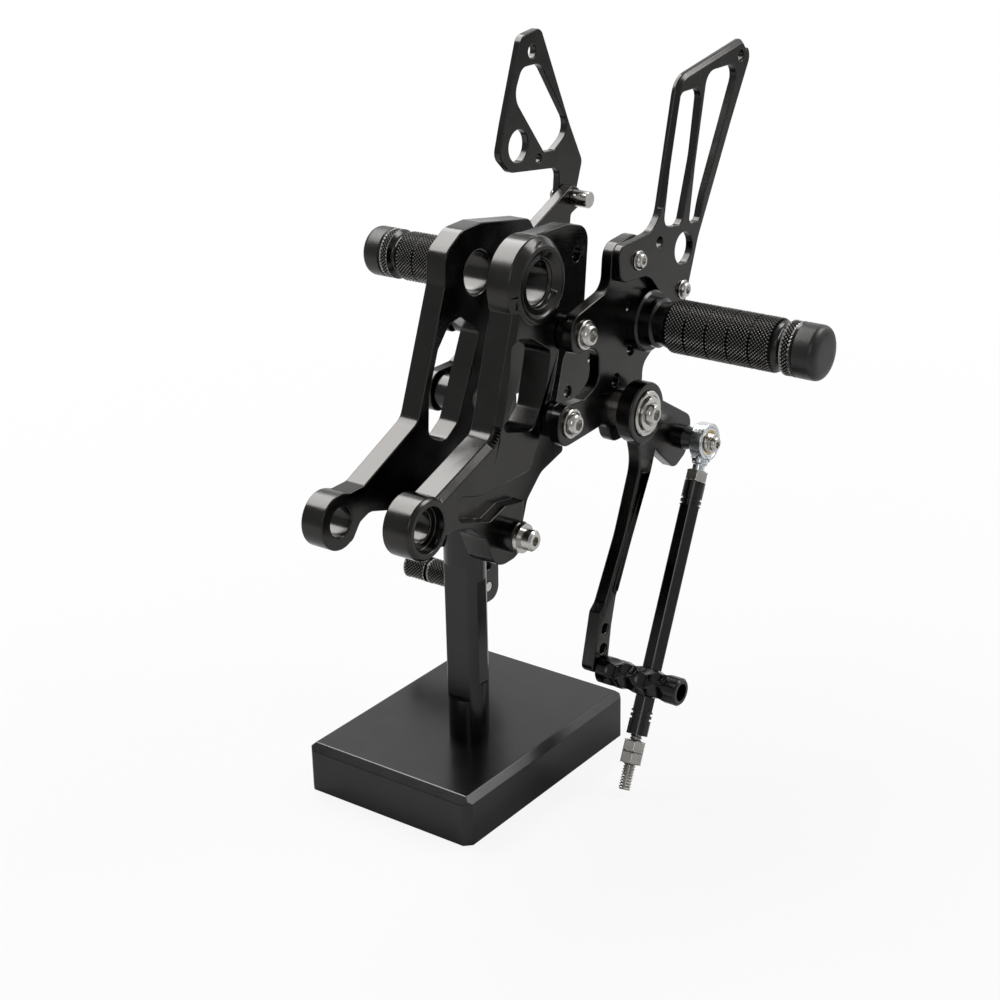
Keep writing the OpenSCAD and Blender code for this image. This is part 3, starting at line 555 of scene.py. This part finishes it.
for cut_at, outer in ((stud_top, 1), (stud_end, -1)):
    bmesh.ops.bisect_plane(bm, geom=list(bm.verts) + list(bm.edges) + list(bm.faces),
                           dist=0.0001 * MM, plane_co=(0, 0, -cut_at * MM),
                           plane_no=(0, 0, outer), clear_outer=True)
bmesh.ops.holes_fill(bm, edges=bm.edges, sides=0)
bmesh.ops.recalc_face_normals(bm, faces=bm.faces)
for face in bm.faces:
    face.smooth = False
bmesh.ops.transform(bm, matrix=rod_frame, verts=bm.verts)
stud = mesh_piece("rod_stud_threaded", bm, stainless, body_of_node("rod_stud"))
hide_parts("rod_stud")

# The bright outer ring of the ball joint, which leaves only a thin line of the brass race showing.
joint_ring = lathe([(-3.1, 6.1), (-3.1, 7.2), (3.1, 7.2), (3.1, 6.1)], closed=True)
bmesh.ops.transform(joint_ring, matrix=rod_frame, verts=joint_ring.verts)
turned_piece("rod_joint_ring", "rod_race", [joint_ring], zinc_plate, instead=False)


# ---------------------------------------------------------------- studio

def softbox(name, place, aim, size_x, size_y, power):
    data = bpy.data.lights.new(name, "AREA")
    data.shape = "RECTANGLE"
    data.size = size_x
    data.size_y = size_y
    data.energy = power
    facing = (Vector(place) - Vector(aim)).to_track_quat("Z", "Y").to_matrix().to_4x4()
    in_scene(name, data).matrix_world = Matrix.Translation(Vector(place)) @ facing


# The box above left lays the bright strips along the tops of the bracket arms.
middle = (0.02, 0.0, 0.16)
softbox("left_overhead_box", (-0.72, 0.06, 1.2), middle, 1.35, 0.5, 20)
softbox("back_right_box", (0.72, 0.82, 1.12), middle, 0.6, 0.6, 9)
softbox("front_strip", (0.9, -1.5, 1.1), middle, 0.3, 1.0, 3)

floor_bm = bmesh.new()
bmesh.ops.create_grid(floor_bm, x_segments=1, y_segments=1, size=12)
floor = in_scene("studio_floor", mesh_from("studio_floor", floor_bm))

# White paper sweep: matt, and lifted towards white where the camera sees it, further from the
# stand more than beside it, where its shadow lies.
paper, tree, shader, place = start_material("white_paper")
shader.inputs["Base Color"].default_value = linear("#bebebe")
shader.inputs["Roughness"].default_value = 0.9
path = add_node(tree, "ShaderNodeLightPath")
glow = add_node(tree, "ShaderNodeEmission", {"Color": linear("#ffffff"), "Strength": 1.0})
far = add_node(tree, "ShaderNodeVectorMath", {0: place}, operation="LENGTH")
fade = add_node(tree, "ShaderNodeMapRange", {"Value": far.outputs["Value"], "From Min": 0.25,
                                             "From Max": 0.8, "To Min": 0.88, "To Max": 1.0})
lift = add_node(tree, "ShaderNodeMath", {0: path.outputs["Is Camera Ray"],
                                         1: fade.outputs["Result"]}, operation="MULTIPLY")
both = add_node(tree, "ShaderNodeMixShader", {0: lift.outputs[0], 1: shader.outputs["BSDF"],
                                              2: glow.outputs[0]})
output = next(node for node in tree.nodes if node.type == "OUTPUT_MATERIAL")
tree.links.new(both.outputs[0], output.inputs["Surface"])
floor.data.materials.append(paper)

# The room is brighter towards the back, and plain white where the camera sees it.
world = bpy.data.worlds.new("studio")
bpy.context.scene.world = world
world.use_nodes = True
tree = world.node_tree
tree.nodes.clear()
place = add_node(tree, "ShaderNodeTexCoord")
parts = add_node(tree, "ShaderNodeSeparateXYZ", {0: place.outputs["Generated"]})
towards_back = add_node(tree, "ShaderNodeMath", {0: parts.outputs["Y"], 1: 0.75, 2: 0.4},
                        operation="MULTIPLY_ADD")
level = add_node(tree, "ShaderNodeMath", {0: towards_back.outputs[0], 1: 0.36},
                 operation="MAXIMUM")
sky = add_node(tree, "ShaderNodeBackground", {"Color": linear("#ffffff"),
                                              "Strength": level.outputs[0]})
pale = add_node(tree, "ShaderNodeBackground", {"Color": linear("#ffffff"), "Strength": 1.0})
path = add_node(tree, "ShaderNodeLightPath")
seen = add_node(tree, "ShaderNodeMixShader", {0: path.outputs["Is Camera Ray"],
                                              1: sky.outputs[0], 2: pale.outputs[0]})
add_node(tree, "ShaderNodeOutputWorld", {"Surface": seen.outputs[0]})

# ---------------------------------------------------------------- camera

# The photograph's camera: it looks down from the front right, and is tipped a little to one side.
azimuth, elevation, roll = (math.radians(angle) for angle in (36.641, 22.489, -1.2418))
back = Vector((math.sin(azimuth) * math.cos(elevation), -math.cos(azimuth) * math.cos(elevation),
               math.sin(elevation)))
right = Vector((math.cos(azimuth), math.sin(azimuth), 0))
up = back.cross(right)
across = math.cos(roll) * right + math.sin(roll) * up
upward = -math.sin(roll) * right + math.cos(roll) * up
camera_data = bpy.data.cameras.new("camera")
camera_data.lens = 72
camera_data.sensor_width = 36
camera = in_scene("camera", camera_data)
camera.matrix_world = (Matrix.Translation((0.5361, -0.6911, 0.5021))
                       @ Matrix((across, upward, back)).transposed().to_4x4())
bpy.context.scene.camera = camera
bpy.context.scene.view_settings.view_transform = "Standard"
